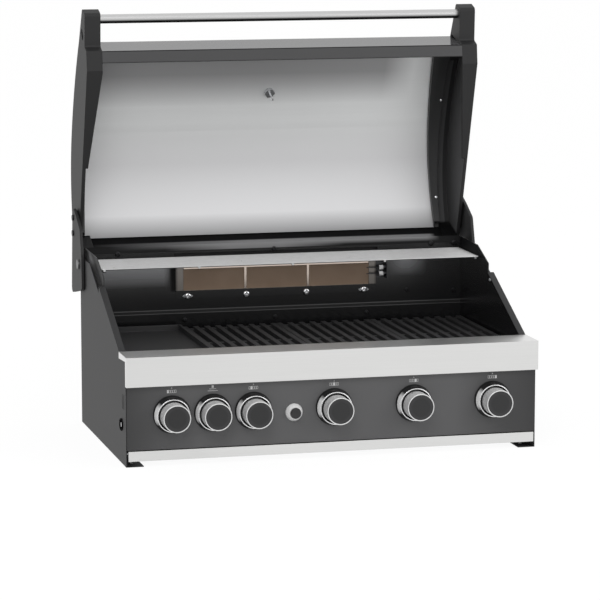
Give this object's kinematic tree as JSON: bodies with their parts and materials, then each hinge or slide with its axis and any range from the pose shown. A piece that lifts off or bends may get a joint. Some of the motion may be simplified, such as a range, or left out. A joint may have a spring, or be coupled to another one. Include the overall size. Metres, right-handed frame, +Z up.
{
  "type": "gas barbecue grill",
  "caption": "Built-in gas barbecue head with an open hinged lid, cast grates and griddle, rear infrared burner, push-and-turn valves, ignition button, drip tray and lid thermometer.",
  "frame": {"origin": "middle of the four fixing holes in the feet, on the plane that the feet stand on", "axes": "+Z up, +Y from the controls towards the back, +X to the right as seen from the front"},
  "size_m": [0.8606, 0.6542, 0.8672],
  "materials": {
    "charcoal_casing": "satin",
    "brushed_stainless": "brushed",
    "black_enamel": "satin",
    "black_casting": "satin",
    "lid_enamel": "satin",
    "cast_iron": "matt enamel",
    "burner_steel": "satin",
    "ceramic_tile": "matt",
    "plated_steel": "plated",
    "brass_fittings": "machined",
    "zinc_pipe": "zinc plated",
    "bright_chrome": "polished",
    "knob_black": "satin",
    "dial_glass": "clear",
    "pointer_black": "matt"
  },
  "bodies": {
    "casing": {"side_panel_left": "charcoal_casing", "side_panel_right": "charcoal_casing", "rear_panel": "charcoal_casing", "control_panel": "charcoal_casing", "front_band": "brushed_stainless", "warming_rack": "brushed_stainless", "rear_burner_frame": "brushed_stainless", "firebox_wall_left": "black_enamel", "firebox_wall_right": "black_enamel", "firebox_wall_front": "black_enamel", "firebox_wall_rear": "black_enamel", "support_ledges": "black_enamel", "grate_1": "cast_iron", "grate_2": "cast_iron", "grate_3": "cast_iron", "griddle": "cast_iron", "main_burners": "burner_steel", "flame_tamers": "burner_steel", "rear_burner_housing": "burner_steel", "tray_runners": "burner_steel", "rear_igniter": "burner_steel", "rear_burner_tiles": "ceramic_tile", "hinge_pins": "plated_steel", "valve_bodies": "brass_fittings", "gas_manifold": "zinc_pipe", "rear_gas_line": "zinc_pipe", "control_bezels": "bright_chrome", "ignition_module": "knob_black"},
    "lid": {"lid_outer_skin": "lid_enamel", "lid_inner_skin": "brushed_stainless", "lid_end_left": "black_casting", "lid_end_right": "black_casting", "lid_side_rail_left": "black_enamel", "lid_side_rail_right": "black_enamel", "lid_front_bar": "black_casting", "lid_rear_panel": "black_enamel", "hinge_arm_left": "black_casting", "hinge_arm_right": "black_casting", "arm_bolts": "plated_steel", "handle_tube": "brushed_stainless", "thermometer_case": "bright_chrome", "thermometer_glass": "dial_glass", "thermometer_nut": "plated_steel"},
    "tray": {"drip_tray": "burner_steel", "tray_front": "brushed_stainless"},
    "pointer": {"thermometer_pointer": "pointer_black"},
    "button": {"ignition_button": "knob_black"},
    "rotor_1": {"valve_rotor_1": "brass_fittings"},
    "knob_1": {"knob_1": "knob_black"},
    "rotor_2": {"valve_rotor_2": "brass_fittings"},
    "knob_2": {"knob_2": "knob_black"},
    "rotor_3": {"valve_rotor_3": "brass_fittings"},
    "knob_3": {"knob_3": "knob_black"},
    "rotor_4": {"valve_rotor_4": "brass_fittings"},
    "knob_4": {"knob_4": "knob_black"},
    "rotor_5": {"valve_rotor_5": "brass_fittings"},
    "knob_5": {"knob_5": "knob_black"},
    "rotor_6": {"valve_rotor_6": "brass_fittings"},
    "knob_6": {"knob_6": "knob_black"}
  },
  "joints": [
    {"name": "lid_hinge", "type": "hinge", "parent": "casing", "child": "lid", "pos_m": [0, 0.219, 0.338], "axis": [1, 0, 0], "range_deg": [0, 97.2]},
    {"name": "tray_slide", "type": "slide", "parent": "casing", "child": "tray", "axis": [0, -1, 0], "range_m": [0, 0.38]},
    {"name": "thermometer_turn", "type": "hinge", "parent": "lid", "child": "pointer", "pos_m": [0, 0.30793, 0.68724], "axis": [0, -0.9063, -0.4227], "range_deg": [0, 270], "stiffness_Nm_per_rad": 0.004},
    {"name": "ignition_push", "type": "slide", "parent": "casing", "child": "button", "axis": [0, 1, 0], "range_m": [0, 0.004], "stiffness_N_per_m": 800},
    {"name": "valve_1_turn", "type": "hinge", "parent": "casing", "child": "rotor_1", "pos_m": [-0.328, -0.2225, 0.102], "axis": [0, -1, 0], "range_deg": [0, 180]},
    {"name": "knob_1_push", "type": "slide", "parent": "rotor_1", "child": "knob_1", "axis": [0, 1, 0], "range_m": [0, 0.0035], "stiffness_N_per_m": 900},
    {"name": "valve_2_turn", "type": "hinge", "parent": "casing", "child": "rotor_2", "pos_m": [-0.246, -0.2225, 0.102], "axis": [0, -1, 0], "range_deg": [0, 180]},
    {"name": "knob_2_push", "type": "slide", "parent": "rotor_2", "child": "knob_2", "axis": [0, 1, 0], "range_m": [0, 0.0035], "stiffness_N_per_m": 900},
    {"name": "valve_3_turn", "type": "hinge", "parent": "casing", "child": "rotor_3", "pos_m": [-0.164, -0.2225, 0.102], "axis": [0, -1, 0], "range_deg": [0, 180]},
    {"name": "knob_3_push", "type": "slide", "parent": "rotor_3", "child": "knob_3", "axis": [0, 1, 0], "range_m": [0, 0.0035], "stiffness_N_per_m": 900},
    {"name": "valve_4_turn", "type": "hinge", "parent": "casing", "child": "rotor_4", "pos_m": [0, -0.2225, 0.102], "axis": [0, -1, 0], "range_deg": [0, 180]},
    {"name": "knob_4_push", "type": "slide", "parent": "rotor_4", "child": "knob_4", "axis": [0, 1, 0], "range_m": [0, 0.0035], "stiffness_N_per_m": 900},
    {"name": "valve_5_turn", "type": "hinge", "parent": "casing", "child": "rotor_5", "pos_m": [0.164, -0.2225, 0.102], "axis": [0, -1, 0], "range_deg": [0, 180]},
    {"name": "knob_5_push", "type": "slide", "parent": "rotor_5", "child": "knob_5", "axis": [0, 1, 0], "range_m": [0, 0.0035], "stiffness_N_per_m": 900},
    {"name": "valve_6_turn", "type": "hinge", "parent": "casing", "child": "rotor_6", "pos_m": [0.328, -0.2225, 0.102], "axis": [0, -1, 0], "range_deg": [0, 180]},
    {"name": "knob_6_push", "type": "slide", "parent": "rotor_6", "child": "knob_6", "axis": [0, 1, 0], "range_m": [0, 0.0035], "stiffness_N_per_m": 900}
  ]
}
